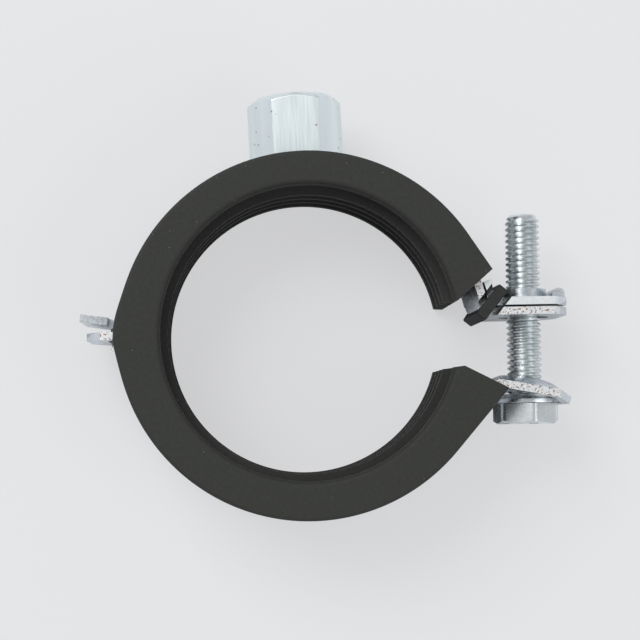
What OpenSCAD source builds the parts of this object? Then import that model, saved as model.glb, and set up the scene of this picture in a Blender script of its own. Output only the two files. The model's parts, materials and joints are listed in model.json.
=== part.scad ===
// Cushioned pipe clamp: two steel half bands with a rubber channel lining, hooked together on one side
// and closed by a long screw on the other. The pipe axis is Z, the connection boss points along +Y.

/* [Pipe seat] */
// Diameter of the pipe seat, measured at the tips of the lining's ridges
seat_d = 47.6; // [46.6:0.1:49.2]
// How much further out than the ridge tips the lining's two rims lie
rim_relief = 1.1; // [0:0.1:1.4]
// Depth of the grooves between the ridges, from the ridge tips
groove_depth = 1.8; // [0.4:0.1:2.4]
// Width of one ridge
ridge_w = 1.6; // [0.8:0.1:2.4]
// Distance from one ridge to the next
ridge_pitch = 5; // [4:0.1:6]
// Number of ridges
ridge_count = 3; // [1:2:3]

/* [Rubber lining] */
// Thickness of the lining between the ridge tips and the band
lining_t = 5.65; // [4.85:0.05:6.65]
// Thickness of the lining beside the band's edges
lining_edge_t = 1.95; // [1.45:0.05:3.95]
// Thickness of the lips that lie over the outside of the bands
lip_t = 1.5; // [1:0.05:2]
// Gap between the lips and the boss's weld foot, on each side
lip_gap = 0.5; // [0.3:0.1:2]
// Rounding of the lining's outer corners
lining_round = 0.7; // [0.3:0.1:1.2]
// Direction of the cut at the upper half's free end
upper_cut_angle = 39.2; // [30:1:45]
// Distance of a point on that cut from the band's outside, sideways
upper_cut_in = 6.2; // [5.6:0.1:6.6]
// Height of that point above the pipe axis
upper_cut_y = 3.6; // [3:0.1:4.2]
// Direction of the cut at the lower half's free end
lower_cut_angle = -29.4; // [-35:1:-20]
// Distance of a point on that cut from the band's outside, sideways
lower_cut_in = 5.6; // [5:0.1:6]
// Height of that point, below the pipe axis
lower_cut_y = -6.6; // [-7.2:0.1:-6]
// Length of the straight flares on the linings' outside
flare_l = 18; // [16:0.5:20]
// Angle at which the upper lining's outside leaves its circle and flares out
upper_flare = 31.6; // [26:1:36]

/* [Steel bands] */
// Thickness of the band steel
band_t = 1.3; // [1:0.1:1.6]
// Width of the band steel
band_w = 20; // [19:0.5:24]
// How far the upper half's centre lies below the pipe axis
upper_drop = 1.8; // [1:0.1:2.2]
// How far the lower half's centre lies above the pipe axis
lower_rise = 0.8; // [0:0.1:1.4]
// Angle below the horizontal at which the lower band leaves its circle and runs on straight
lower_flare = 42.6; // [38:1:46]

/* [Closure ears] */
// Height of the upper ear at the screw, at the middle of its steel
ear_y = 1.85; // [1:0.05:2.5]
// Slope of the upper ear and of the threaded plate on it
ear_slope = -2.1; // [-4:0.1:0]
// Bend radius at the root of the upper ear, at the middle of the steel
ear_bend_r = 2; // [1.8:0.1:2.6]
// How far the ears reach beyond the screw's axis
ear_reach = 6.55; // [5.75:0.1:8.25]
// Length of the slanted corners at the ear tips
ear_corner = 2.6; // [1:0.1:3]
// Width that is left at the ear tips
ear_tip_w = 11; // [8:0.5:16]
// Height of the lower ear at the screw, at the middle of its steel
low_ear_y = -11.3; // [-12:0.05:-11]
// Slope of the lower ear
low_ear_slope = -12.8; // [-13.5:0.1:-12]
// Bend radius at the root of the lower ear, at the middle of the steel
low_bend_r = 1.5; // [1.2:0.1:2]
// Extra downward bend of the lower ear's tip
low_tip_bend = 15; // [0:1:20]
// Length of the bent tip of the lower ear
low_tip_l = 2.8; // [2:0.1:3.2]
// Diameter of the dome pressed up round the lower ear's screw hole
dome_d = 13; // [12:0.5:14]
// Height of that dome
dome_h = 2.1; // [1.6:0.1:2.4]
// Clearance of the screw in the ears' slots, on each side
screw_room = 0.5; // [0.3:0.05:0.8]
// Length of the screw slot in the upper ear
ear_slot_l = 8.6; // [8:0.1:10]
// Length of the screw slot in the lower ear's dome
dome_slot_l = 9.2; // [8.6:0.1:9.6]
// Width of the neck that the keeper loop goes round
neck_w = 17; // [15:0.5:18]
// Length of the neck to each side of the keeper's middle
neck_half = 2; // [1.8:0.1:2.4]
// Fillet at each end of the neck
neck_fillet = 1; // [0.6:0.1:1.4]

/* [Locking plate] */
// Thickness of the threaded plate
plate_t = 1.35; // [1.2:0.05:1.6]
// Gap between the plate and the ear below it
plate_gap = 0.35; // [0.3:0.05:0.7]
// Wall of the plate's threaded collar
collar_wall = 0.9; // [0.6:0.05:1.5]
// Height of the collar above the plate
collar_h = 1.8; // [1:0.1:2.4]
// Width of the plate's turned-up lip
lip_tab_w = 9; // [6:0.5:11]
// Diameter of the rounded top of that lip
lip_tab_d = 2.1; // [1.6:0.1:2.6]
// Height of the middle of that rounded top above the middle of the plate
lip_top = 1.2; // [0.8:0.1:2]
// Angle through which the plate's tail follows the band at its cut
tail_angle = 6.5; // [5:0.5:8]

/* [Closing screw] */
// Thread diameter of the closing screw
screw_d = 6; // [5.8:0.05:6.2]
// Clearance round the screw in the threaded plate
thread_gap = 0.05; // [0.03:0.01:0.1]
// Length of the screw under its head
screw_l = 32.5; // [28:0.5:34]
// Chamfer at the screw's point
screw_point = 0.6; // [0.3:0.1:1]
// Distance of the screw's axis from the band's outside, at the height of the pipe axis
screw_out = 6.95; // [6.6:0.05:7.4]
// Lean of the screw away from the bands
screw_lean = 2.1; // [0:0.1:3]
// Room under the sloping ear for the washer's flat edge
head_room = 0.85; // [0.75:0.05:1.25]
// Width across the flats of the head
head_af = 10; // [9:0.5:10]
// Height of the head
head_k = 3.6; // [3.4:0.1:4.4]
// Radius to which the chamfer cuts the head's end
head_edge_r = 4.8; // [4.2:0.1:5]
// Turn of the hexagon about the screw's axis
head_turn = 12; // [0:1:60]
// Outer diameter of the dished washer under the ear
washer_d = 10.4; // [10:0.1:10.6]
// Thickness of the washer's steel
washer_t = 0.8; // [0.6:0.1:0.9]
// Rise of the washer's dished middle
washer_rise = 0.8; // [0.5:0.1:1]
// Clearance of the washer's hole round the screw
washer_gap = 0.2; // [0.1:0.05:0.4]

/* [Hook hinge] */
// Height of the slotted ear, at the middle of its steel
hook_ear_y = 1.35; // [1.2:0.05:1.6]
// Slope of the slotted ear, rising outwards
hook_ear_slope = 2.3; // [0:0.1:4]
// How far the slotted ear reaches beyond the band's outside
hook_ear_reach = 6.7; // [6.2:0.1:8.2]
// Bend radius at the root of the slotted ear
hook_bend_r = 1.6; // [1.3:0.1:1.8]
// Distance of the lower half's upright tongue from the band's outside
tongue_out = 1.95; // [1.8:0.05:2.1]
// Width of the tongue
tongue_w = 10; // [8:0.5:11]
// Width of the hooked head on the tongue
hook_w = 16; // [14:0.5:19]
// Distance of the start of the hooked head from the tongue, at the middle of its steel
hook_from_out = 0.95; // [0.75:0.05:1.25]
// Height of that start above the pipe axis
hook_from_y = 3.95; // [3.8:0.05:4.2]
// Slope of the hooked head, rising outwards
hook_slope = 10; // [6:1:12]
// Length of the hooked head
hook_l = 4.6; // [4:0.1:5]
// Bend radius of the hooked head, at the middle of its steel
hook_curl_r = 1.2; // [1:0.1:1.4]
// Clearance of the tongue in its slot, on each side
hook_gap = 0.55; // [0.45:0.05:0.7]
// Angle at which the lower band leaves its circle for the hook
tongue_foot_angle = 188; // [186:0.5:190]
// Bend radius at the foot of the tongue
tongue_foot_r = 1.2; // [0.9:0.1:1.5]
// Height at which the band narrows to the tongue
tongue_shoulder_y = -0.9; // [-1.2:0.1:-0.7]
// Lower end of the opening in the lining for the hook
hook_window_from = -4.6; // [-5:0.1:-4.2]
// Upper end of that opening
hook_window_to = 4.8; // [4.4:0.1:5.2]
// Distance of the hinge axis inside the hook from the tongue, sideways
pivot_out = 0.35; // [0.15:0.05:0.55]
// Height of the hinge axis above the pipe axis
pivot_y = 2.2; // [2:0.1:2.5]
// Direction of the upper lining's end at the hinge
hinge_lean = -1; // [-3:0.5:1]
// Open angle between the two lining ends at the hinge
hinge_wedge = 11; // [10:0.5:14]
// Gap between the two lining ends at their outer edge
hinge_gap = 0.25; // [0.2:0.05:0.5]

/* [Connection boss] */
// Width across the flats of the hexagonal boss
boss_af = 14; // [13:0.5:17]
// Height of the hexagon
boss_h = 10; // [7:0.5:15]
// Height of the weld foot, from the band to the hexagon's underside
foot_h = 2.2; // [1.7:0.1:2.6]
// Diameter of the round weld foot between the lining's lips
foot_d = 11; // [10.5:0.1:11.4]
// Tapping diameter of the boss's thread
boss_bore_d = 8.5; // [8.3:0.05:9]
// Radius to which the chamfers cut the hexagon's ends
chamfer_r = 6.4; // [5.6:0.1:6.8]
// Thickness of the weld that closes the thread's inner end
weld_floor = 0.5; // [0.3:0.1:1]
// Gap between the weld foot and the band
weld_gap = 0.05; // [0.03:0.01:0.1]
// Width of the chamfer at the mouth of the thread
mouth_chamfer = 0.9; // [0.3:0.1:1.2]

/* [Keeper loop] */
// Wall of the rubber keeper loop across the steel
keeper_wall = 1.1; // [0.9:0.1:1.3]
// Width of the keeper loop along the steel
keeper_w = 2.3; // [1.8:0.1:2.5]

/* [Fits] */
// Clearance between the lining and the band steel
lining_gap = 0.05; // [0.03:0.01:0.1]
// Gap between the lining's end and the locking plate's tail
tail_gap = 0.35; // [0.3:0.05:0.6]

/* [Hidden] */
$fn = 96;
big = 100;
lap = 0.02;
bend_lap = 0.2;
trim_angle = 3;
run_lap = 1;
room_turn = 1;
round_room = 1;
steel = [0.78, 0.80, 0.80];
bright_steel = [0.72, 0.76, 0.78];
rubber = [0.20, 0.21, 0.20];
seat_r = seat_d / 2;
band_r = seat_r + lining_t + lining_gap + band_t;
lining_w = band_w + 2 * (lining_gap + lining_edge_t);
lip_reach = (band_w - foot_d) / 2 - lip_gap;
upper_cut_at = [band_r - upper_cut_in, upper_cut_y];
lower_cut_at = [band_r - lower_cut_in, lower_cut_y];
screw_x = band_r + screw_out;
ear_tip_x = screw_x + ear_reach;
ear_slot_w = screw_d + 2 * screw_room;
collar_d = screw_d + 2 * collar_wall;
head_y = low_ear_y - band_t / 2 - washer_t - head_room;
tongue_x = band_r + tongue_out;
hook_ear_x = band_r + hook_ear_reach;
hook_from = [-tongue_x - hook_from_out, hook_from_y];
pivot = [-tongue_x - pivot_out, pivot_y];
boss_foot = band_r - upper_drop + foot_h;
boss_top = boss_foot + boss_h;
upper_centre = [0, -upper_drop];
lower_centre = [0, lower_rise];
band_mid = band_r - band_t / 2;
lining_r = band_r + lip_t;

function dir(angle) = [cos(angle), sin(angle)];
function dot(a, b) = a[0] * b[0] + a[1] * b[1];
function angle_of(v) = atan2(v[1], v[0]);
// Centre of a bend that leaves a circle outwards and ends on a line, where up points from the line
// to the centre
function bend_centre(at, along, up, circle, reach) =
    let (from = at + up - circle, half = dot(from, along))
    at + up + along * (sqrt(half * half - dot(from, from) + reach * reach) - half);
// Crossing point of two lines, each given by a point and a direction
function crossing(p, d, q, e) =
    p + d * (((q[0] - p[0]) * e[1] - (q[1] - p[1]) * e[0]) / (d[0] * e[1] - d[1] * e[0]));
function screw_at(y) = screw_x + y * tan(screw_lean);
// Extra length that two strips need to close the outside of a folded corner
function mitre(turn) = band_t / 2 * tan(abs(turn) / 2);

// Upper free end: the ear's line, the bend at its root, and the plate that lies on it
ear_along = dir(ear_slope);
ear_up = dir(ear_slope + 90);
ear_at = [screw_at(ear_y), ear_y];
ear_bend = bend_centre(ear_at, ear_along, ear_up * ear_bend_r, upper_centre, band_mid + ear_bend_r);
ear_start = angle_of(ear_bend - upper_centre);
neck_dir = (ear_start + 180 + ear_slope + 270) / 2;
plate_offset = (band_t + plate_t) / 2 + plate_gap;
plate_at = ear_at + ear_up * plate_offset;
plate_corner = bend_centre(plate_at, ear_along, [0, 0], upper_centre, band_mid + plate_offset);
tail_end = crossing(upper_cut_at + dir(upper_cut_angle - 90) * tail_gap, dir(upper_cut_angle),
                    upper_centre, dir(angle_of(plate_corner - upper_centre) + tail_angle)) - upper_centre;

// Lower free end: the straight run, the ear's line and the bend between them
low_out = dir(-lower_flare);
low_up = dir(90 - lower_flare);
low_leave = lower_centre + low_out * band_mid;
low_ear_along = dir(low_ear_slope);
low_ear_up = dir(low_ear_slope + 90);
low_ear_at = [screw_at(low_ear_y), low_ear_y];
low_bend = crossing(low_leave + low_out * low_bend_r, low_up,
                    low_ear_at - low_ear_up * low_bend_r, low_ear_along);
low_run = dot(low_bend - low_leave, low_up);
low_ear_from = low_bend + low_ear_up * low_bend_r;
low_tip_at = low_ear_from + low_ear_along * ((ear_tip_x - low_ear_from[0]) / low_ear_along[0] - low_tip_l);
dome_ball_r = (pow(dome_d / 2, 2) + dome_h * dome_h) / (2 * dome_h);

// Hook hinge: the slotted ear of the upper half and the tongue of the lower half
hook_ear_along = dir(180 - hook_ear_slope);
hook_ear_up = dir(90 - hook_ear_slope);
hook_ear_at = [-tongue_x, hook_ear_y];
hook_bend = bend_centre(hook_ear_at, hook_ear_along, hook_ear_up * hook_bend_r, upper_centre,
                        band_mid + hook_bend_r);
hook_start = angle_of(hook_bend - upper_centre);
hook_ear_from = hook_bend - hook_ear_up * hook_bend_r;
tongue_foot = lower_centre + dir(tongue_foot_angle) * (band_mid + tongue_foot_r);
tongue_shoulder = [-tongue_x, tongue_shoulder_y];
jog = angle_of(tongue_shoulder - tongue_foot) + asin(tongue_foot_r / norm(tongue_shoulder - tongue_foot));
shoulder_mitre = mitre(jog - 90);
tip_mitre = mitre(low_tip_bend);
hook_along = dir(180 - hook_slope);
hook_curl = crossing([-tongue_x - hook_curl_r, 0], [0, 1], hook_from + dir(270 - hook_slope) * hook_curl_r,
                     hook_along);

// Flat length of sheet between two points, which laps a little into what it joins at both ends. An arc
// stops short of the strip that it runs on into, and the strip laps further over the arc.
module strip(from, to, t, w, back = lap) {
    translate([from[0], from[1], 0]) rotate([0, 0, angle_of(to - from)])
        translate([-back, -t / 2, -w / 2]) cube([norm(to - from) + back + lap, t, w]);
}

module curved_strip(centre, r, from, to, t, w) {
    translate([centre[0], centre[1], 0]) rotate([0, 0, from])
        rotate_extrude(angle = to - from) translate([r - t / 2, -w / 2]) square([t, w]);
}

// Rounded joint between two strips that meet at an angle
module knuckle(at, t, w) {
    translate([at[0], at[1], 0]) cylinder(d = t, h = w, center = true);
}

// Places a cut or a boss on the XY plane, with its Z axis turned to lie along the given direction there
module facing(at, angle) {
    translate([at[0], at[1], 0]) rotate([0, 0, angle - 90]) rotate([-90, 0, 0]) children();
}

module slot(l, w, h) {
    cube([l - w, w, h], center = true);
    for (side = [-1, 1]) translate([side * (l - w) / 2, 0, 0]) cylinder(d = w, h = h, center = true);
}

// Slanted corners that are cut off the tip of an ear or a plate, seen along Y
module tip_corners(tip_x) {
    for (side = [-1, 1]) rotate([90, 0, 0]) linear_extrude(big, center = true)
        polygon([[tip_x - 2 * ear_corner, side * (band_w - ear_tip_w / 2)], [tip_x, side * ear_tip_w / 2],
                 [tip_x + big, side * ear_tip_w / 2], [tip_x + big, side * (band_w - ear_tip_w / 2)]]);
}

// The two recesses beside the neck, where the keeper loop lies
module neck_recesses() {
    reach = ear_bend_r + band_w / 2;
    for (side = [-1, 1]) translate([ear_bend[0], ear_bend[1], 0]) rotate([0, 0, neck_dir])
        translate([0, 0, side * (neck_w / 2 + big / 2)]) {
            cube([reach, 2 * (neck_half - neck_fillet), big], center = true);
            translate([0, 0, side * neck_fillet]) cube([reach, 2 * neck_half, big], center = true);
            for (end = [-1, 1])
                translate([0, end * (neck_half - neck_fillet), side * (neck_fillet - big / 2)])
                    rotate([0, 90, 0]) cylinder(r = neck_fillet, h = reach, center = true);
        }
}

module upper_band() color(steel) difference() {
    union() {
        curved_strip(upper_centre, band_mid, ear_start, hook_start, band_t, band_w);
        curved_strip(ear_bend, ear_bend_r, ear_start + 180, ear_slope + 270 - trim_angle, band_t, band_w);
        strip(ear_bend - ear_up * ear_bend_r, ear_bend - ear_up * ear_bend_r
              + ear_along * ((ear_tip_x - ear_bend[0]) / ear_along[0]), band_t, band_w, bend_lap);
        curved_strip(hook_bend, hook_bend_r, 270 - hook_ear_slope + trim_angle, hook_start + 180,
                     band_t, band_w);
        strip(hook_ear_from, hook_ear_from + hook_ear_along * (hook_ear_x + hook_ear_from[0]), band_t, band_w,
              bend_lap);
    }
    tip_corners(ear_tip_x);
    mirror([1, 0, 0]) tip_corners(hook_ear_x);
    neck_recesses();
    facing(ear_at, ear_slope + 90) slot(ear_slot_l, ear_slot_w, 4 * band_t);
    facing(hook_ear_at, 90) cube([band_t + 2 * hook_gap, tongue_w + 2 * hook_gap, 6 * band_t], center = true);
}

module lower_band() color(steel) difference() {
    union() {
        curved_strip(lower_centre, band_mid, tongue_foot_angle, 360 - lower_flare, band_t, band_w);
        strip(low_leave, low_leave + low_up * low_run, band_t, band_w);
        curved_strip(low_bend, low_bend_r, 90 + low_ear_slope, 180 - lower_flare, band_t, band_w);
        strip(low_ear_from, low_tip_at + low_ear_along * tip_mitre, band_t, band_w);
        strip(low_tip_at - dir(low_ear_slope - low_tip_bend) * tip_mitre,
              low_tip_at + dir(low_ear_slope - low_tip_bend) * low_tip_l, band_t, band_w);
        intersection() {
            facing(low_ear_at, low_ear_slope + 90) translate([0, 0, band_t / 2 + dome_h - dome_ball_r])
                sphere(r = dome_ball_r);
            facing(low_ear_at, low_ear_slope + 90) cylinder(d = dome_d + round_room, h = big);
        }
        translate([lower_centre[0], lower_centre[1], 0]) rotate([0, 0, tongue_foot_angle])
            curved_strip([band_mid + tongue_foot_r, 0], tongue_foot_r, 180,
                         270 + jog - tongue_foot_angle - trim_angle, band_t, band_w);
        strip(tongue_foot + dir(jog - 90) * tongue_foot_r, tongue_shoulder + dir(jog) * shoulder_mitre,
              band_t, band_w, bend_lap);
        strip(tongue_shoulder - [0, shoulder_mitre], [-tongue_x, hook_curl[1]], band_t, tongue_w);
        curved_strip(hook_curl, hook_curl_r, 0, 90 - hook_slope, band_t, tongue_w);
        strip(hook_curl + dir(90 - hook_slope) * hook_curl_r,
              hook_curl + dir(90 - hook_slope) * hook_curl_r + hook_along * hook_l, band_t, hook_w);
    }
    intersection() {
        facing(low_ear_at, low_ear_slope + 90) translate([0, 0, band_t / 2 + dome_h - dome_ball_r])
            sphere(r = dome_ball_r - band_t);
        facing(low_ear_at, low_ear_slope + 90) translate([0, 0, -3 * band_t])
            cylinder(d = dome_d, h = big);
    }
    tip_corners(ear_tip_x);
    facing(low_ear_at, low_ear_slope + 90) slot(dome_slot_l, ear_slot_w, 4 * (band_t + dome_h));
}

// Ridged hole of revolution round the pipe axis
module pipe_seat() {
    rim_r = seat_r + rim_relief;
    groove_r = seat_r + groove_depth;
    ridges_w = (ridge_count - 1) * ridge_pitch + ridge_w;
    groove_w = ridge_pitch - ridge_w;
    cylinder(r = seat_r, h = big, center = true);
    for (side = [-1, 1]) {
        translate([0, 0, side * (ridges_w / 2 + big / 2)]) cylinder(r = rim_r, h = big, center = true);
        translate([0, 0, side * (ridges_w + groove_w) / 2])
            cylinder(r = groove_r, h = groove_w, center = true);
    }
    for (i = [0 : 1 : ridge_count - 2])
        translate([0, 0, (i - (ridge_count - 2) / 2) * ridge_pitch])
            cylinder(r = groove_r, h = groove_w, center = true);
}

// Section of a lining half before its cuts, from well inside the pipe seat to the rounded outer corners
module lining_section() {
    edge = lining_r - lining_round;
    half = lining_w / 2;
    inside = seat_r / 2;
    translate([inside, -half]) square([edge - inside, lining_w]);
    translate([inside, lining_round - half]) square([lining_r - inside, lining_w - 2 * lining_round]);
    for (side = [-1, 1]) intersection() {
        translate([edge, side * (half - lining_round)]) circle(r = lining_round);
        translate([0, -half]) square([lining_r, lining_w]);
    }
}

// Room for a band and for the opening between the lips, as a ring about the band's own centre
module band_room() {
    inner = band_r - band_t - lining_gap;
    difference() {
        union() {
            cylinder(r = band_r + lining_gap, h = band_w + 2 * lining_gap, center = true);
            cylinder(r = big, h = band_w - 2 * lip_reach, center = true);
        }
        cylinder(r = inner, h = big, center = true);
    }
}

// Keeps what lies to the left of a line through a point
module left_of(at, angle) {
    translate([at[0], at[1], 0]) rotate([0, 0, angle]) translate([-big, 0, -big / 2])
        cube([2 * big, big, big]);
}

// Opening in the linings where the hook hinge comes out
module hinge_window() {
    translate([-big - band_r + band_t, hook_window_from, -band_w / 2 - lining_gap])
        cube([big, hook_window_to - hook_window_from, band_w + 2 * lining_gap]);
}

module upper_lining() color(rubber) difference() {
    intersection() {
        union() {
            translate([0, -upper_drop, 0]) rotate([0, 0, upper_flare])
                rotate_extrude(angle = 180) lining_section();
            translate([0, -upper_drop, 0]) rotate([0, 0, upper_flare]) rotate([90, 0, 0])
                linear_extrude(flare_l) lining_section();
        }
        left_of(upper_cut_at, upper_cut_angle);
        left_of(pivot, hinge_lean);
    }
    pipe_seat();
    translate([0, -upper_drop, 0]) band_room();
    hinge_window();
}

module lower_lining() color(rubber) difference() {
    intersection() {
        union() {
            translate([0, lower_rise, 0]) rotate([0, 0, 180 - lower_flare])
                rotate_extrude(angle = 180) lining_section();
            translate([0, lower_rise, 0]) rotate([0, 0, -lower_flare]) rotate([90, 0, 0])
                mirror([0, 0, 1]) linear_extrude(flare_l) lining_section();
        }
        left_of(lower_cut_at, lower_cut_angle + 180);
        left_of(pivot - [0, hinge_gap], hinge_lean - hinge_wedge + 180);
    }
    pipe_seat();
    intersection() {
        translate([0, lower_rise, 0]) band_room();
        rotate([0, 0, -lower_flare - 180]) translate([-big, 0, -big / 2]) cube([2 * big, big, big]);
    }
    strip(low_leave - low_up * run_lap, low_leave + low_up * low_run, band_t + 2 * lining_gap,
          band_w + 2 * lining_gap);
    translate([lower_centre[0], lower_centre[1], 0]) rotate([0, 0, -lower_flare])
        translate([band_mid, -run_lap, lip_reach - band_w / 2]) cube([big, big, band_w - 2 * lip_reach]);
    curved_strip(low_bend, low_bend_r, 90 + low_ear_slope - room_turn, 180 - lower_flare + room_turn,
                 band_t + 2 * lining_gap, band_w + 2 * lining_gap);
    strip(low_ear_from, low_tip_at, band_t + 2 * lining_gap, band_w + 2 * lining_gap);
    hinge_window();
}

module connection_boss() color(bright_steel) difference() {
    top = boss_top - boss_foot;
    corner_r = boss_af / 2 / cos(30);
    around_r = corner_r + round_room;
    slant = (around_r - chamfer_r) * tan(30);
    facing([0, boss_foot], 90) union() {
        intersection() {
            cylinder(r = corner_r, h = top, $fn = 6);
            rotate_extrude() polygon([[0, 0], [chamfer_r, 0], [around_r, slant], [around_r, top - slant],
                                      [chamfer_r, top], [0, top]]);
        }
        translate([0, 0, -foot_d / 2]) cylinder(d = foot_d, h = foot_d / 2 + slant / 2);
    }
    translate([0, -upper_drop, 0]) cylinder(r = band_r + weld_gap, h = big, center = true);
    facing([0, band_r - upper_drop + weld_floor], 90) cylinder(d = boss_bore_d, h = big);
    facing([0, boss_top - mouth_chamfer], 90)
        cylinder(d1 = boss_bore_d, d2 = boss_bore_d + 2 * mouth_chamfer, h = mouth_chamfer);
}

module locking_plate() color(bright_steel) difference() {
    union() {
        strip(plate_corner, plate_corner + ear_along * ((ear_tip_x - plate_corner[0]) / ear_along[0]),
              plate_t, band_w);
        knuckle(plate_corner, plate_t, band_w);
        curved_strip(upper_centre, band_mid + plate_offset, angle_of(plate_corner - upper_centre),
                     angle_of(tail_end), plate_t, band_w);
        facing(plate_at, 90 - screw_lean) cylinder(d = collar_d, h = collar_h + plate_t / 2);
        intersection() {
            translate([ear_tip_x - lip_tab_d / 2, 0, 0]) union() {
                knuckle([0, plate_at[1] + lip_top], lip_tab_d, lip_tab_w);
                strip([0, plate_at[1] + lip_top], [0, plate_at[1] - plate_t / 4], lip_tab_d, lip_tab_w);
            }
            left_of(plate_at, ear_slope);
        }
    }
    tip_corners(ear_tip_x);
    neck_recesses();
    facing([screw_x, 0], 90 - screw_lean) cylinder(d = screw_d, h = big, center = true);
}

module clamping_screw() color(bright_steel) facing([screw_x, 0], 90 - screw_lean) {
    shank_r = screw_d / 2 - thread_gap;
    corner_r = head_af / 2 / cos(30);
    around_r = corner_r + round_room;
    slant = (around_r - head_edge_r) * tan(30);
    intersection() {
        translate([0, 0, head_y - head_k]) rotate([0, 0, head_turn])
            cylinder(r = corner_r, h = head_k, $fn = 6);
        translate([0, 0, head_y - head_k]) rotate_extrude()
            polygon([[0, 0], [head_edge_r, 0], [around_r, slant], [around_r, head_k], [0, head_k]]);
    }
    translate([0, 0, head_y - head_k / 2]) cylinder(r = shank_r, h = screw_l - screw_point + head_k / 2);
    translate([0, 0, head_y + screw_l - screw_point])
        cylinder(r1 = shank_r, r2 = shank_r - screw_point, h = screw_point);
}

module head_washer() color(bright_steel) facing([screw_x, 0], 90 - screw_lean) {
    inner = screw_d / 2 + washer_gap;
    outer = washer_d / 2;
    flat = (outer - inner) / 4;
    translate([0, 0, head_y]) rotate_extrude()
        polygon([[inner, washer_rise], [inner + flat, washer_rise], [outer - flat, 0], [outer, 0],
                 [outer, washer_t], [outer - flat, washer_t], [inner + flat, washer_rise + washer_t],
                 [inner, washer_rise + washer_t]]);
}

module keeper_loop() color(rubber) {
    sweep = (ear_start - ear_slope - 90) / 2;
    out = ear_bend_r + band_t / 2 + lining_gap;
    // The loop's outer side lies across the inside corner of the plate
    corner = (ear_bend_r - plate_offset - plate_t / 2 - lining_gap - keeper_w / 2 * sin(-sweep)) / cos(sweep);
    translate([ear_bend[0], ear_bend[1], 0]) rotate([0, 0, neck_dir]) difference() {
        translate([corner - keeper_wall, -keeper_w / 2, -neck_w / 2 - keeper_wall])
            cube([out - corner + 2 * keeper_wall, keeper_w, neck_w + 2 * keeper_wall]);
        translate([corner, -keeper_w, -neck_w / 2 - lining_gap])
            cube([out - corner, 2 * keeper_w, neck_w + 2 * lining_gap]);
    }
}

upper_band();
lower_band();
upper_lining();
lower_lining();
connection_boss();
locking_plate();
clamping_screw();
head_washer();
keeper_loop();
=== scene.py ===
"""Looks of the cushioned pipe clamp: rubber-lined zinc-plated half bands, hooked on one side, screwed on the other."""
from __future__ import annotations

import json
import logging
import math
from dataclasses import dataclass
from enum import Enum
from typing import Callable

import bmesh
import bpy
from mathutils import Matrix, Vector, noise

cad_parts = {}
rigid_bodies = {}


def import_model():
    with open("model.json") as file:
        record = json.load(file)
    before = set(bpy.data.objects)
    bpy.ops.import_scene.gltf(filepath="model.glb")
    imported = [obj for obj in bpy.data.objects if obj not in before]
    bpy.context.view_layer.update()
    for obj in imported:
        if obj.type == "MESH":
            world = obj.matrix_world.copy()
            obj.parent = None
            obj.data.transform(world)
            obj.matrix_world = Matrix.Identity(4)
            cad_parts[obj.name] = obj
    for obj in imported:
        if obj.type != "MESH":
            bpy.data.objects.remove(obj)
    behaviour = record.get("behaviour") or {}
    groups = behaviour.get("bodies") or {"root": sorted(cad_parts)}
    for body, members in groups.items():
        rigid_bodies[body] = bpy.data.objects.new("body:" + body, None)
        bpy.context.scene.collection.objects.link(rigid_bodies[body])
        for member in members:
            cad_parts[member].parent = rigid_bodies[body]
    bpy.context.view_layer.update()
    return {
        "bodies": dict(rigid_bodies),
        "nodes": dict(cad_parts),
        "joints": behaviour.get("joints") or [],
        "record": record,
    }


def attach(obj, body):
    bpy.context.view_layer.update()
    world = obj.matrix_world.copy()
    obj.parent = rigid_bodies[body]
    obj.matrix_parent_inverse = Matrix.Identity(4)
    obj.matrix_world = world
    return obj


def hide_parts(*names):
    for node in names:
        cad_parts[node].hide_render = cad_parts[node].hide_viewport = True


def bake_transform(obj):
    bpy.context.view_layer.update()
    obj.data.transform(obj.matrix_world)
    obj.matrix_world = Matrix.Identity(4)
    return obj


LOG = logging.getLogger("pipe_clamp")
MM = 0.001
Z_AXIS = Vector((0, 0, 1))


class Body(Enum):
    """The clamp's moving bodies."""

    UPPER = "upper_half"
    LOWER = "lower_half"
    WASHER = "screw_washer"
    SCREW = "screw"


def polar(angle: float) -> Vector:
    """Unit vector in the XY plane at an angle in degrees."""
    return Vector((math.cos(math.radians(angle)), math.sin(math.radians(angle)), 0.0))


def bevel_edges(bm: bmesh.types.BMesh, edges: list[bmesh.types.BMEdge], width: float, segments: int) -> None:
    """Rounds edges of a mesh.

    Args:
        bm: The mesh.
        edges: The edges to round.
        width: Width of the rounding in metres.
        segments: Number of strips across the rounding.
    """
    bmesh.ops.bevel(bm, geom=edges, offset=width, offset_type="OFFSET", affect="EDGES", segments=segments,
                    profile=0.5, material=-1, clamp_overlap=True)


def sharp_edges(bm: bmesh.types.BMesh, degrees: float) -> list[bmesh.types.BMEdge]:
    """Edges whose two faces meet at more than an angle.

    Args:
        bm: The mesh.
        degrees: The least angle.

    Returns:
        The edges.
    """
    limit = math.radians(degrees)
    return [e for e in bm.edges if len(e.link_faces) == 2 and e.calc_face_angle(0.0) > limit]


def link_piece(name: str, bm: bmesh.types.BMesh, material: bpy.types.Material, sharp: float) -> bpy.types.Object:
    """Makes an object of a finished mesh, smooth but for its sharp edges.

    Args:
        name: The piece's name.
        bm: Its mesh, in the clamp's frame. It is freed.
        material: Its finish.
        sharp: Angle in degrees above which an edge stays sharp.

    Returns:
        The object.
    """
    bmesh.ops.recalc_face_normals(bm, faces=bm.faces)
    mesh = bpy.data.meshes.new(name)
    bm.to_mesh(mesh)
    bm.free()
    mesh.shade_smooth()
    mesh.set_sharp_from_angle(angle=math.radians(sharp))
    mesh.materials.append(material)
    obj = bpy.data.objects.new(name, mesh)
    bpy.context.scene.collection.objects.link(obj)
    weighted = obj.modifiers.new("even_faces", "WEIGHTED_NORMAL")
    weighted.keep_sharp = True
    LOG.info("%s: %d faces", name, len(mesh.polygons))
    return obj


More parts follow.
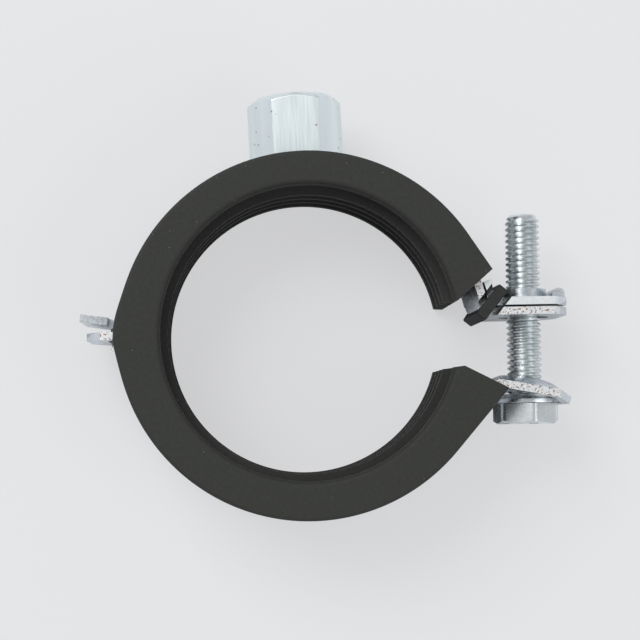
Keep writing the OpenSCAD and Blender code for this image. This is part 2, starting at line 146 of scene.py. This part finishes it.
def helix(profile: list[tuple[float, float]], pitch: float, turns: int, steps: int, closed: bool) -> bmesh.types.BMesh:
    """Winds one pitch of a thread's profile round Z.

    Args:
        profile: Radius and height of each corner of one pitch, upwards.
        pitch: Rise of one turn.
        turns: Number of turns.
        steps: Steps in one turn.
        closed: True where the profile is a ring of its own, False where one turn joins the next.

    Returns:
        The wound mesh, from height 0.
    """
    bm = bmesh.new()
    verts = [bm.verts.new((r, 0, z)) for r, z in profile]
    pairs = list(zip(verts, verts[1:])) + ([(verts[-1], verts[0])] if closed else [])
    edges = [bm.edges.new(pair) for pair in pairs]
    bmesh.ops.spin(bm, geom=verts + edges, cent=(0, 0, 0), axis=Z_AXIS, dvec=(0, 0, pitch / steps),
                   angle=2 * math.pi * turns, steps=steps * turns, use_merge=False, use_normal_flip=False,
                   use_duplicate=False)
    bmesh.ops.remove_doubles(bm, verts=bm.verts, dist=pitch / 500)
    return bm


def cut_flat(bm: bmesh.types.BMesh, at: Vector, out: Vector,
             part: Callable[[Vector], bool] = lambda co: True) -> None:
    """Cuts a mesh off at a plane and closes the cut.

    Args:
        bm: The mesh.
        at: A point of the plane.
        out: Direction of the side that goes.
        part: Says which points belong to the stretch that is cut.
    """
    inside = {v for v in bm.verts if part(v.co)}
    lines = [e for e in bm.edges if all(v in inside for v in e.verts)]
    faces = [f for f in bm.faces if all(v in inside for v in f.verts)]
    bmesh.ops.bisect_plane(bm, geom=list(inside) + lines + faces, dist=1e-7, plane_co=at, plane_no=out,
                           clear_outer=True, clear_inner=False)
    open_edges = [e for e in bm.edges if e.is_boundary and all(abs((v.co - at).dot(out)) < 1e-5 for v in e.verts)]
    bmesh.ops.holes_fill(bm, edges=open_edges, sides=0)


def turned(profile: list[tuple[float, float]], steps: int) -> bmesh.types.BMesh:
    """Turns an open profile round Z into a closed body.

    Args:
        profile: Radius and height of each corner. The first and last radius may be 0.
        steps: Steps round the axis.

    Returns:
        The mesh.
    """
    bm = bmesh.new()
    verts = [bm.verts.new((r, 0, z)) for r, z in profile]
    edges = [bm.edges.new(pair) for pair in zip(verts, verts[1:])]
    bmesh.ops.spin(bm, geom=verts + edges, cent=(0, 0, 0), axis=Z_AXIS, dvec=(0, 0, 0), angle=2 * math.pi,
                   steps=steps, use_merge=True, use_normal_flip=False, use_duplicate=False)
    bmesh.ops.remove_doubles(bm, verts=bm.verts, dist=1e-7)
    return bm


def place(bm: bmesh.types.BMesh, at: Vector, up: Vector) -> None:
    """Moves a mesh made round Z to a point, with its Z axis along a direction in the XY plane."""
    side = up.cross(Z_AXIS).normalized()
    turn = Matrix((side, up.cross(side), up)).transposed()
    bmesh.ops.transform(bm, matrix=Matrix.Translation(at) @ turn.to_4x4(), verts=bm.verts)


class Nodes:
    """Short calls for the nodes of one material."""

    def __init__(self, name: str) -> None:
        """Makes an empty material with its shader."""
        self.material = bpy.data.materials.new(name)
        self.material.use_nodes = True
        self.tree = self.material.node_tree
        self.shader = self.tree.nodes["Principled BSDF"]
        self.coords = self.tree.nodes.new("ShaderNodeTexCoord").outputs["Object"]

    def link(self, source: bpy.types.NodeSocket, target: bpy.types.NodeSocket) -> None:
        """Joins two sockets."""
        self.tree.links.new(source, target)

    def stretched(self, scale: tuple[float, float, float]) -> bpy.types.NodeSocket:
        """Object coordinates scaled per axis."""
        node = self.tree.nodes.new("ShaderNodeMapping")
        node.inputs["Scale"].default_value = scale
        self.link(self.coords, node.inputs["Vector"])
        return node.outputs["Vector"]

    def noise(self, scale: float, detail: float, vector: bpy.types.NodeSocket | None = None) -> bpy.types.NodeSocket:
        """Noise value at a scale per metre."""
        node = self.tree.nodes.new("ShaderNodeTexNoise")
        node.inputs["Scale"].default_value = scale
        node.inputs["Detail"].default_value = detail
        self.link(vector or self.coords, node.inputs["Vector"])
        return node.outputs["Fac"]

    def specks(self, spacing: float, size: float) -> bpy.types.NodeSocket:
        """1 in small spots and 0 elsewhere.

        Args:
            spacing: Mean distance between spots in metres.
            size: Radius of a spot in metres.

        Returns:
            The mask.
        """
        node = self.tree.nodes.new("ShaderNodeTexVoronoi")
        node.inputs["Scale"].default_value = 1 / spacing
        self.link(self.coords, node.inputs["Vector"])
        return self.ramp(node.outputs["Distance"], size / spacing * 0.6, size / spacing, (1, 1, 1), (0, 0, 0))

    def ramp(self, value: bpy.types.NodeSocket, low: float, high: float, first: tuple[float, float, float],
             last: tuple[float, float, float]) -> bpy.types.NodeSocket:
        """Colour that goes from first at low to last at high."""
        node = self.tree.nodes.new("ShaderNodeValToRGB")
        node.color_ramp.elements[0].position = low
        node.color_ramp.elements[1].position = high
        node.color_ramp.elements[0].color = (*first, 1)
        node.color_ramp.elements[1].color = (*last, 1)
        self.link(value, node.inputs["Fac"])
        return node.outputs["Color"]

    def mix(self, mask: bpy.types.NodeSocket, a: bpy.types.NodeSocket | tuple[float, float, float],
            b: bpy.types.NodeSocket | tuple[float, float, float]) -> bpy.types.NodeSocket:
        """Colour a where the mask is 0 and b where it is 1."""
        node = self.tree.nodes.new("ShaderNodeMix")
        node.data_type = "RGBA"
        self.link(mask, node.inputs["Factor"])
        for index, value in ((6, a), (7, b)):
            if isinstance(value, tuple):
                node.inputs[index].default_value = (*value, 1)
            else:
                self.link(value, node.inputs[index])
        return node.outputs[2]

    def math(self, operation: str, a: bpy.types.NodeSocket, b: bpy.types.NodeSocket | float = 0.0) -> bpy.types.NodeSocket:
        """One operation on values."""
        node = self.tree.nodes.new("ShaderNodeMath")
        node.operation = operation
        self.link(a, node.inputs[0])
        if isinstance(b, (int, float)):
            node.inputs[1].default_value = b
        else:
            self.link(b, node.inputs[1])
        return node.outputs[0]

    def axis(self, name: str) -> bpy.types.NodeSocket:
        """One of the object coordinates X, Y and Z."""
        node = self.tree.nodes.new("ShaderNodeSeparateXYZ")
        self.link(self.coords, node.inputs["Vector"])
        return node.outputs[name]

    def bump(self, height: bpy.types.NodeSocket, distance: float, strength: float) -> None:
        """Gives the shader a bump from a height value."""
        node = self.tree.nodes.new("ShaderNodeBump")
        node.inputs["Distance"].default_value = distance
        node.inputs["Strength"].default_value = strength
        self.link(height, node.inputs["Height"])
        self.link(node.outputs["Normal"], self.shader.inputs["Normal"])


@dataclass(frozen=True)
class ZincPlate:
    """Bright zinc plating on steel, with rough sheared edges where a sheet was cut."""

    name: str
    tone: tuple[float, float, float] = (0.70, 0.73, 0.75)
    shade: tuple[float, float, float] = (0.52, 0.56, 0.60)
    edge: tuple[float, float, float] = (0.84, 0.84, 0.83)
    rust: tuple[float, float, float] = (0.34, 0.20, 0.14)
    gloss: tuple[float, float] = (0.22, 0.42)
    sheared_from: float = 0.0
    grain: tuple[float, float, float] = (1.0, 1.0, 1.0)
    specked: float = 0.575
    relief: float = 0.25
    pit_size: float = 0.0

    def build(self) -> bpy.types.Material:
        """The finish as a material."""
        n = Nodes(self.name)
        n.shader.inputs["Metallic"].default_value = 1.0
        cloud = n.noise(260, 4, n.stretched(self.grain))
        colour = n.ramp(cloud, 0.3, 0.7, self.shade, self.tone)
        fine = n.noise(2600, 3, n.stretched(self.grain))
        low, high = self.gloss
        rough = n.ramp(fine, 0.35, 0.75, (low,) * 3, (high,) * 3)
        height = fine
        if self.pit_size > 0:
            colour = n.mix(n.specks(2.1 * MM, self.pit_size), colour, self.rust)
        if self.sheared_from > 0:
            cut = n.math("GREATER_THAN", n.math("ABSOLUTE", n.axis("Z")), self.sheared_from)
            torn = n.ramp(n.noise(1700, 4), 0.38, 0.62, self.tone, self.edge)
            worn = n.math("MULTIPLY", cut, n.math("GREATER_THAN", n.noise(2600, 3), self.specked))
            colour = n.mix(cut, colour, torn)
            colour = n.mix(worn, colour, self.rust)
            rough = n.mix(cut, rough, (0.5, 0.5, 0.5))
        n.link(colour, n.shader.inputs["Base Color"])
        n.link(rough, n.shader.inputs["Roughness"])
        n.bump(height, 0.00004, self.relief)
        return n.material


@dataclass(frozen=True)
class Rubber:
    """Matt black rubber with dust on it."""

    name: str
    tone: tuple[float, float, float] = (0.0265, 0.0280, 0.0245)
    shade: tuple[float, float, float] = (0.0215, 0.0228, 0.0200)
    dust: tuple[float, float, float] = (0.16, 0.16, 0.155)
    dust_spacing: float = 1.7 * MM
    dust_size: float = 0.09 * MM

    def build(self) -> bpy.types.Material:
        """The finish as a material."""
        n = Nodes(self.name)
        n.shader.inputs["Roughness"].default_value = 0.72
        n.shader.inputs["Specular IOR Level"].default_value = 0.35
        colour = n.ramp(n.noise(1500, 5), 0.35, 0.68, self.shade, self.tone)
        colour = n.mix(n.specks(self.dust_spacing, self.dust_size), colour, self.dust)
        n.link(colour, n.shader.inputs["Base Color"])
        n.bump(n.noise(3200, 4), 0.00005, 0.5)
        return n.material


@dataclass
class PipeLining:
    """Rubber channel that runs round both half bands and hinges on its own outside the hook."""

    seat_r: float = 23.8
    rim_r: float = 24.9
    groove_r: float = 25.6
    web_r: float = 29.45
    lip_under_r: float = 30.85
    outer_r: float = 32.3
    half_w: float = 12.0
    groove_edges: tuple[float, ...] = (0.8, 4.2, 5.8, 9.2)
    lip_z: float = 6.0
    channel_z: float = 10.05
    corner_r: float = 0.7
    rim_round: float = 0.9
    back_rim_r: float = 23.8
    upper_drop: float = 1.8
    lower_rise: float = 0.8
    upper_flare: float = 31.6
    lower_flare: float = 42.6
    upper_cut: tuple[float, float, float] = (24.6, 3.6, 39.2)
    lower_cut: tuple[float, float, float] = (25.2, -6.6, -29.4)
    upper_blunt: tuple[float, float, float] = (24.7, 4.1, -4.0)
    lower_blunt: tuple[float, float, float] = (25.6, -6.9, 4.0)
    window: tuple[float, float] = (-4.6, 4.8)
    bulge: float = 0.6
    bulge_at: float = 176.0
    bulge_spread: float = 8.0
    bend_from: float = 2.8
    bend_to: float = -2.2
    first_angle: float = 3.0
    last_angle: float = 352.0
    steps: int = 236

    def outside(self, angle: float) -> float:
        """Radius of the outer surface at an angle about the pipe axis, in mm."""
        turn = math.radians(angle)
        upper = math.sin(turn) > 0.06 * math.cos(turn) - 0.02 if math.cos(turn) > 0 else math.sin(turn) > 0.04
        shift = -self.upper_drop if upper else self.lower_rise
        radius = shift * math.sin(turn) + math.sqrt(self.outer_r ** 2 - (shift * math.cos(turn)) ** 2)
        flare = math.radians(self.upper_flare if upper else -self.lower_flare)
        touch = math.atan2(shift + self.outer_r * math.sin(flare), self.outer_r * math.cos(flare))
        signed = (turn + math.pi) % (2 * math.pi) - math.pi
        if math.cos(turn) > 0 and abs(signed) < abs(touch):
            radius = (self.outer_r + shift * math.sin(flare)) / math.cos(signed - flare)
        swell = math.exp(-(((angle - self.bulge_at) / self.bulge_spread) ** 2))
        return radius + self.bulge * swell

    def section(self) -> list[tuple[float, float]]:
        """Radius and height of each corner of the section, as a ring."""
        a, b, c, d = self.groove_edges
        low, high = self.seat_r, self.groove_r
        half = [(low, 0.0), (low, a), (high, a), (high, b), (low, b), (low, c), (high, c), (high, d),
                (self.rim_r, d)]
        for step in range(4):
            turn = math.radians(30 * step)
            half.append((self.rim_r + self.rim_round * (1 - math.cos(turn)),
                         self.half_w - self.rim_round * (1 - math.sin(turn))))
        for step in range(5):
            turn = math.radians(22.5 * step)
            half.append((self.outer_r - self.corner_r * (1 - math.sin(turn)),
                         self.half_w - self.corner_r * (1 - math.cos(turn))))
        half += [(self.outer_r, self.lip_z), (self.lip_under_r, self.lip_z), (self.lip_under_r, self.channel_z),
                 (self.web_r, self.channel_z), (self.web_r, 0.0)]
        back = self.rim_r - self.back_rim_r
        other = [(r - back if z >= self.groove_edges[3] and r < self.web_r - 1 else r, -z)
                 for r, z in half[-2:0:-1]]
        return half + other

    def shape(self, co: Vector) -> Vector:
        """Where a point of the swept true ring goes on the real one, whose outside follows the bands."""
        r, angle = math.hypot(co.x, co.y) / MM, math.degrees(math.atan2(co.y, co.x)) % 360
        share = min(1.0, max(0.0, (r - self.groove_r - 0.2) / (self.web_r - self.groove_r - 0.2)))
        z = co.z / MM
        if r > self.web_r + 0.2 and abs(z) < self.channel_z - 0.01 and co.x < 0 \
                and self.window[0] * MM < co.y < self.window[1] * MM:
            z = math.copysign(self.channel_z - 0.05, z)
        where = polar(angle) * ((r + share * (self.outside(angle) - self.outer_r)) * MM)
        return Vector((where.x, where.y, z * MM))

    def build(self, material: bpy.types.Material) -> bpy.types.Object:
        """Builds the lining.

        Args:
            material: Its finish.

        Returns:
            The piece.
        """
        bm = bmesh.new()
        start = math.radians(self.first_angle)
        verts = [bm.verts.new((r * MM * math.cos(start), r * MM * math.sin(start), z * MM)) for r, z in self.section()]
        edges = [bm.edges.new(pair) for pair in zip(verts, verts[1:] + verts[:1])]
        bmesh.ops.spin(bm, geom=verts + edges, cent=(0, 0, 0), axis=Z_AXIS, dvec=(0, 0, 0),
                       angle=math.radians(self.last_angle - self.first_angle), steps=self.steps,
                       use_merge=False, use_normal_flip=False, use_duplicate=False)
        for vert in bm.verts:
            vert.co = self.shape(vert.co)
        for (x, y, angle), side in ((self.upper_cut, -90), (self.lower_cut, 90), (self.upper_blunt, -90),
                                    (self.lower_blunt, 90)):
            cut_flat(bm, Vector((x, y, 0)) * MM, polar(angle + side),
                     lambda co: co.x > 8 * MM and (co.y > 0) == (side < 0))
        piece = link_piece("pipe_lining", bm, material, 38)
        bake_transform(piece)
        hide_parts("upper_lining", "lower_lining")
        return piece


@dataclass
class SheetPart:
    """A pressed or sheared part whose solid is right: its edges get the small rounding of the real one."""

    node: str
    name: str
    body: Body
    slot: str
    rounding: float = 0.12
    segments: int = 3

    def form(self, bm: bmesh.types.BMesh) -> None:
        """Changes the merged solid before its edges are rounded."""

    def wear(self, bm: bmesh.types.BMesh) -> None:
        """Changes the rounded mesh."""

    def build(self, frame: dict, material: bpy.types.Material) -> bpy.types.Object:
        """Builds the part from its solid.

        Args:
            material: Its finish.

        Returns:
            The piece.
        """
        bm = bmesh.new()
        bm.from_mesh(frame["nodes"][self.node].data)
        bmesh.ops.remove_doubles(bm, verts=bm.verts, dist=2e-6)
        bmesh.ops.dissolve_degenerate(bm, edges=bm.edges, dist=2e-6)
        bmesh.ops.dissolve_limit(bm, angle_limit=math.radians(1.5), verts=bm.verts, edges=bm.edges,
                                 use_dissolve_boundaries=False)
        self.form(bm)
        bevel_edges(bm, sharp_edges(bm, 32), self.rounding * MM, self.segments)
        self.wear(bm)
        piece = link_piece(self.name, bm, material, 40)
        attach(piece, self.body.value)
        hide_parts(self.node)
        return piece


@dataclass
class SoftLoop(SheetPart):
    """The soft rubber loop round the necks, narrower and less even than its solid."""

    neck_at: tuple[float, float] = (31.608, 4.079)
    along: float = 319.2
    share: float = 0.95
    unevenness: float = 0.09

    def form(self, bm: bmesh.types.BMesh) -> None:
        """Narrows the loop along the steel."""
        middle, way = Vector((*self.neck_at, 0)) * MM, polar(self.along)
        for vert in bm.verts:
            vert.co -= way * ((vert.co - middle).dot(way) * (1 - self.share))

    def wear(self, bm: bmesh.types.BMesh) -> None:
        """Presses the loop in here and there."""
        bmesh.ops.triangulate(bm, faces=bm.faces)
        long_edges = [e for e in bm.edges if e.calc_length() > 0.8 * MM]
        bmesh.ops.subdivide_edges(bm, edges=long_edges, cuts=5, use_grid_fill=True)
        middle, way = Vector((*self.neck_at, 0)) * MM, polar(self.along)
        for vert in bm.verts:
            off = (vert.co - middle).dot(way)
            vert.co -= way * off * self.unevenness * (1 + noise.noise(vert.co / (1.3 * MM)))


@dataclass
class HexForm:
    """A hexagon whose ends are chamfered to a circle."""

    across_flats: float
    chamfer_r: float
    bottom: float
    top: float
    turn: float = 0.0
    chamfer_bottom: bool = True
    chamfer_top: bool = True
    chamfer_slope: float = 30.0

    def reach(self, angle: float) -> float:
        """Distance from the axis to the hexagon's side at an angle in degrees."""
        off = (angle - self.turn) % 60 - 30
        return self.across_flats / 2 / math.cos(math.radians(off))

    def fit(self, bm: bmesh.types.BMesh) -> None:
        """Turns the rings at chamfer_r + 1 of a turned body into the hexagon's sides and chamfers."""
        slope = math.tan(math.radians(self.chamfer_slope))
        for vert in bm.verts:
            r = vert.co.xy.length / MM
            if r < self.chamfer_r + 0.5:
                continue
            angle = math.degrees(math.atan2(vert.co.y, vert.co.x))
            reach = self.reach(angle)
            drop = max(0.0, reach - self.chamfer_r) * slope
            z = vert.co.z / MM
            if z > (self.bottom + self.top) / 2:
                z = self.top - (drop if self.chamfer_top else 0)
            else:
                z = self.bottom + (drop if self.chamfer_bottom else 0)
            vert.co = Vector((vert.co.x * reach / r, vert.co.y * reach / r, z * MM))


@dataclass
class ClosingScrew:
    """Hexagon-head screw with a rolled thread over its whole length."""

    axis_x: float = 37.75
    lean: float = 2.1
    head_y: float = -13.6
    across_flats: float = 10.0
    head_h: float = 3.6
    head_edge_r: float = 4.8
    seat_gap: float = 0.03
    head_turn: float = 38.0
    crest_r: float = 2.95
    root_r: float = 2.42
    pitch: float = 1.0
    length: float = 32.5
    point: float = 0.8
    steps: int = 40

    def thread(self) -> bmesh.types.BMesh:
        """The threaded shank, from the head's underside to the point, along Z."""
        p, lap = self.pitch * MM, 2
        profile = [(self.root_r * MM, 0), (self.root_r * MM, 0.14 * p), (self.crest_r * MM, 0.46 * p),
                   (self.crest_r * MM, 0.66 * p), (self.root_r * MM, p)]
        bm = helix(profile, p, int(self.length / self.pitch) + 2 * lap + 1, self.steps, closed=False)
        bmesh.ops.translate(bm, vec=(0, 0, -lap * p), verts=bm.verts)
        top = self.length * MM
        cut_flat(bm, Vector((0, 0, top)), Z_AXIS)
        cut_flat(bm, Vector((0, 0, -0.3 * MM)), -Z_AXIS)
        for vert in bm.verts:
            left = top - vert.co.z
            limit = (self.crest_r - self.point) * MM + left
            r = vert.co.xy.length
            if r > limit > 0:
                vert.co.x *= limit / r
                vert.co.y *= limit / r
        return bm

    def head(self) -> bmesh.types.BMesh:
        """The chamfered hexagon head under the shank, along Z."""
        form = HexForm(self.across_flats, self.head_edge_r, -self.head_h, -self.seat_gap, self.head_turn, True, False)
        ring = (self.head_edge_r + 1) * MM
        flat = self.head_edge_r * MM
        bottom = -self.head_h * MM
        top = -self.seat_gap * MM
        bm = turned([(0, bottom), (flat, bottom), (ring, bottom), (ring, top), (0, top)], 72)
        form.fit(bm)
        return bm

    def build(self, material: bpy.types.Material) -> bpy.types.Object:
        """Builds the screw.

        Args:
            material: Its finish.

        Returns:
            The piece.
        """
        bm = self.head()
        bevel_edges(bm, sharp_edges(bm, 40), 0.12 * MM, 2)
        part = bpy.data.meshes.new("thread")
        thread = self.thread()
        thread.to_mesh(part)
        thread.free()
        bm.from_mesh(part)
        bpy.data.meshes.remove(part)
        up = polar(90 - self.lean)
        place(bm, Vector((self.axis_x, 0, 0)) * MM + up * (self.head_y * MM), up)
        piece = link_piece("closing_screw", bm, material, 35)
        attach(piece, Body.SCREW.value)
        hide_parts("clamping_screw")
        return piece


@dataclass
class WeldedBoss:
    """Threaded hexagon boss, welded to the upper band by a round foot."""

    across_flats: float = 14.0
    chamfer_r: float = 6.4
    bottom: float = 30.6
    top: float = 41.2
    foot_r: float = 5.5
    bore_r: float = 4.25
    thread_r: float = 4.95
    mouth: float = 0.9
    pitch: float = 1.5
    band_r: float = 30.85
    upper_drop: float = 1.8
    weld_r: float = 5.9
    weld_h: float = 0.55

    def band_height(self, x: float) -> float:
        """Height of the band's outside above the pipe axis at a distance to the side."""
        return math.sqrt((self.band_r * MM) ** 2 - x * x) - self.upper_drop * MM

    def body(self) -> bmesh.types.BMesh:
        """The hexagon with its foot and bore, along Z."""
        ring = (self.chamfer_r + 1) * MM
        flat, foot = self.chamfer_r * MM, self.foot_r * MM
        low, high, floor = self.bottom * MM, self.top * MM, 29.4 * MM
        bore, mouth = self.thread_r * MM, self.mouth * MM
        profile = [(0, floor), (bore, floor), (bore, high - mouth * 0.55), (bore + mouth * 0.55, high), (flat, high),
                   (ring, high), (ring, low), (flat, low), (foot, low), (foot, 28 * MM), (0, 28 * MM)]
        bm = turned(profile, 96)
        HexForm(self.across_flats, self.chamfer_r, self.bottom, self.top, 0, chamfer_bottom=False).fit(bm)
        return bm

    def coil(self) -> bmesh.types.BMesh:
        """The ridge of the thread inside the bore, along Z."""
        p = self.pitch * MM
        out, inner = (self.thread_r + 0.05) * MM, self.bore_r * MM
        bm = helix([(out, 0), (inner, 0.42 * p), (inner, 0.58 * p), (out, 0.98 * p)], p, 6, 48, closed=True)
        bmesh.ops.holes_fill(bm, edges=[e for e in bm.edges if e.is_boundary], sides=0)
        bmesh.ops.translate(bm, vec=(0, 0, self.top * MM - 7.35 * p), verts=bm.verts)
        return bm

    def weld(self) -> bmesh.types.BMesh:
        """The uneven bead of weld round the foot, along Z."""
        out, top = self.weld_r * MM, 29 * MM + self.weld_h * MM
        foot = (self.foot_r - 0.2) * MM
        bm = turned([(foot, 28.2 * MM), (foot, top), (foot + 0.3 * MM, top - 0.02 * MM), (out, top - 0.35 * MM),
                     (out, 28.2 * MM), (foot, 28.2 * MM)], 72)
        for vert in bm.verts:
            swell = 0.22 * MM * noise.noise(vert.co / (1.1 * MM))
            vert.co += Vector((vert.co.x, vert.co.y, 0)).normalized() * swell + Z_AXIS * swell * 0.8
        return bm

    def build(self, material: bpy.types.Material) -> bpy.types.Object:
        """Builds the boss.

        Args:
            material: Its finish.

        Returns:
            The piece.
        """
        bm = self.body()
        bevel_edges(bm, sharp_edges(bm, 24), 0.35 * MM, 3)
        for extra in (self.coil(), self.weld()):
            part = bpy.data.meshes.new("extra")
            extra.to_mesh(part)
            extra.free()
            bm.from_mesh(part)
            bpy.data.meshes.remove(part)
        place(bm, Vector((0, 0, 0)), Vector((0, 1, 0)))
        for vert in bm.verts:
            if vert.co.y < 28.9 * MM:
                vert.co.y = self.band_height(vert.co.x) + 0.01 * MM
        piece = link_piece("welded_boss", bm, material, 35)
        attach(piece, Body.UPPER.value)
        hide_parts("connection_boss")
        return piece


@dataclass
class Studio:
    """Plain floor, soft light and the camera that looks down on the lying clamp."""

    floor_z: float = -12.0
    floor_tone: tuple[float, float, float] = (0.78, 0.79, 0.81)
    seen_tone: tuple[float, float, float] = (0.76, 0.76, 0.77)
    seen_share: float = 0.72
    focal: float = 101.25
    sensor: float = 36.0
    camera_at: tuple[float, float, float] = (-12.33, -15.59, 312.0)
    shift: tuple[float, float] = (0.125, 0.172)
    roll: float = 3.1

    def floor(self) -> bpy.types.Object:
        """The plain floor under the clamp."""
        bm = bmesh.new()
        bmesh.ops.create_grid(bm, x_segments=1, y_segments=1, size=4.0)
        bmesh.ops.translate(bm, vec=(0, 0, self.floor_z * MM), verts=bm.verts)
        n = Nodes("pale_floor")
        n.shader.inputs["Base Color"].default_value = (*self.floor_tone, 1)
        n.shader.inputs["Roughness"].default_value = 0.9
        n.shader.inputs["Specular IOR Level"].default_value = 0.1
        seen = n.tree.nodes.new("ShaderNodeLightPath").outputs["Is Camera Ray"]
        glow = n.tree.nodes.new("ShaderNodeEmission")
        glow.inputs["Color"].default_value = (*self.seen_tone, 1)
        blend = n.tree.nodes.new("ShaderNodeMixShader")
        n.link(n.math("MULTIPLY", seen, self.seen_share), blend.inputs["Fac"])
        n.link(n.shader.outputs["BSDF"], blend.inputs[1])
        n.link(glow.outputs["Emission"], blend.inputs[2])
        n.link(blend.outputs["Shader"], n.tree.nodes["Material Output"].inputs["Surface"])
        mesh = bpy.data.meshes.new("floor")
        bm.to_mesh(mesh)
        bm.free()
        mesh.materials.append(n.material)
        floor = bpy.data.objects.new("floor", mesh)
        bpy.context.scene.collection.objects.link(floor)
        return floor

    def lamp(self, name: str, at: tuple[float, float, float], size: float, power: float) -> None:
        """One soft lamp, aimed at the clamp."""
        light = bpy.data.lights.new(name, "AREA")
        light.size, light.energy = size, power
        obj = bpy.data.objects.new(name, light)
        obj.location = at
        obj.rotation_euler = (-Vector(at)).to_track_quat("-Z", "Y").to_euler()
        bpy.context.scene.collection.objects.link(obj)

    def world(self) -> None:
        """Even grey light from all round."""
        world = bpy.data.worlds.new("studio")
        world.use_nodes = True
        world.node_tree.nodes["Background"].inputs["Color"].default_value = (0.84, 0.86, 0.88, 1)
        world.node_tree.nodes["Background"].inputs["Strength"].default_value = 0.62
        bpy.context.scene.world = world

    def camera(self) -> None:
        """The camera of the photograph."""
        data = bpy.data.cameras.new("camera")
        data.lens, data.sensor_width, data.sensor_fit = self.focal, self.sensor, "HORIZONTAL"
        data.clip_start, data.clip_end = 0.01, 20
        data.shift_x, data.shift_y = self.shift
        obj = bpy.data.objects.new("camera", data)
        obj.location = Vector(self.camera_at) * MM
        obj.rotation_euler = (0, 0, -math.radians(self.roll))
        bpy.context.scene.collection.objects.link(obj)
        bpy.context.scene.camera = obj

    def build(self) -> None:
        """Builds everything round the clamp."""
        self.floor()
        self.lamp("key", (-0.5, 0.6, 0.9), 0.7, 9.0)
        self.lamp("fill", (0.8, -0.5, 0.7), 0.9, 4.0)
        self.world()
        self.camera()


def main() -> None:
    """Builds the dressed clamp piece by piece."""
    logging.basicConfig(level=logging.INFO, format="%(name)s %(message)s")
    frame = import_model()
    bpy.context.scene.view_settings.view_transform = "Standard"
    band = ZincPlate("band_zinc", sheared_from=9.93 * MM).build()
    plate = ZincPlate("plate_zinc", tone=(0.74, 0.78, 0.80), sheared_from=9.93 * MM, specked=0.8).build()
    drawn = ZincPlate("boss_zinc", tone=(0.80, 0.85, 0.85), shade=(0.69, 0.76, 0.77), gloss=(0.36, 0.48),
                      grain=(1.2, 0.06, 1.2), relief=0.12, pit_size=0.22 * MM).build()
    bright = ZincPlate("screw_zinc", tone=(0.74, 0.77, 0.77), shade=(0.62, 0.66, 0.67), gloss=(0.26, 0.36),
                       relief=0.06).build()
    rubber = Rubber("lining_epdm").build()
    loop = Rubber("keeper_rubber", tone=(0.016, 0.016, 0.016)).build()
    PipeLining().build(rubber)
    for part, finish in (
            (SheetPart("upper_band", "upper_half_band", Body.UPPER, "band_steel"), band),
            (SheetPart("lower_band", "lower_half_band", Body.LOWER, "band_steel"), band),
            (SheetPart("locking_plate", "threaded_plate", Body.UPPER, "plate_steel"), plate),
            (SheetPart("head_washer", "dished_washer", Body.WASHER, "washer_steel", 0.1), bright),
            (SoftLoop("keeper_loop", "rubber_keeper", Body.UPPER, "keeper_rubber", 0.35, 4), loop)):
        part.build(frame, finish)
    WeldedBoss().build(drawn)
    ClosingScrew().build(bright)
    Studio().build()


if __name__ == "__main__":
    main()
